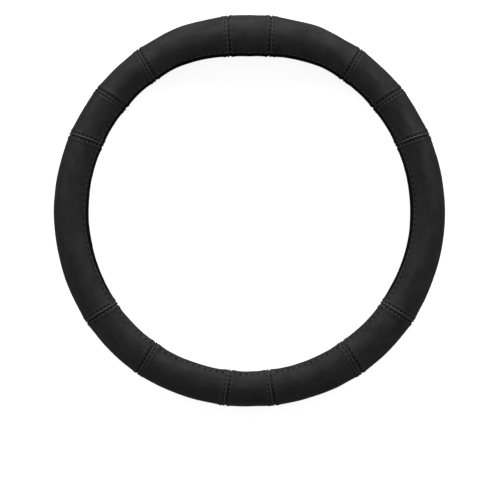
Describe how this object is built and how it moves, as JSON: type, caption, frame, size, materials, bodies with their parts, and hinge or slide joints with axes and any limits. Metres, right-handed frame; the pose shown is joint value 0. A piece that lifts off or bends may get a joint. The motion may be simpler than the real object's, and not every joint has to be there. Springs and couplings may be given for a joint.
{
  "type": "steering wheel cover",
  "caption": "Round leather steering wheel cover: a ring with a C-shaped section, sewn from panels over a rubber liner, open towards the centre.",
  "frame": {"origin": "centre of the ring, on the surface that its rear face lies on", "axes": "+Z along the ring's axis towards the driver's side of the cover, +Y to its twelve o'clock, +X to its three o'clock"},
  "size_m": [0.3788, 0.3807, 0.0461],
  "materials": {
    "leather": "matte",
    "rubber": "matte",
    "thread": "satin"
  },
  "bodies": {
    "root": {"panel_top": "leather", "panel_crown_right": "leather", "panel_crown_left": "leather", "panel_shoulder_right": "leather", "panel_shoulder_left": "leather", "panel_upper_right": "leather", "panel_upper_left": "leather", "panel_side_right": "leather", "panel_side_left": "leather", "panel_lower_right": "leather", "panel_lower_left": "leather", "panel_base_right": "leather", "panel_base_left": "leather", "panel_bottom": "leather", "rubber_liner": "rubber", "seam_thread_01_before": "thread", "seam_thread_01_after": "thread", "seam_thread_02_before": "thread", "seam_thread_02_after": "thread", "seam_thread_03_before": "thread", "seam_thread_03_after": "thread", "seam_thread_04_before": "thread", "seam_thread_04_after": "thread", "seam_thread_05_before": "thread", "seam_thread_05_after": "thread", "seam_thread_06_before": "thread", "seam_thread_06_after": "thread", "seam_thread_07_before": "thread", "seam_thread_07_after": "thread", "seam_thread_08_before": "thread", "seam_thread_08_after": "thread", "seam_thread_09_before": "thread", "seam_thread_09_after": "thread", "seam_thread_10_before": "thread", "seam_thread_10_after": "thread", "seam_thread_11_before": "thread", "seam_thread_11_after": "thread", "seam_thread_12_before": "thread", "seam_thread_12_after": "thread", "seam_thread_13_before": "thread", "seam_thread_13_after": "thread", "seam_thread_14_before": "thread", "seam_thread_14_after": "thread", "lip_thread_front": "thread", "lip_thread_rear": "thread"}
  },
  "joints": []
}
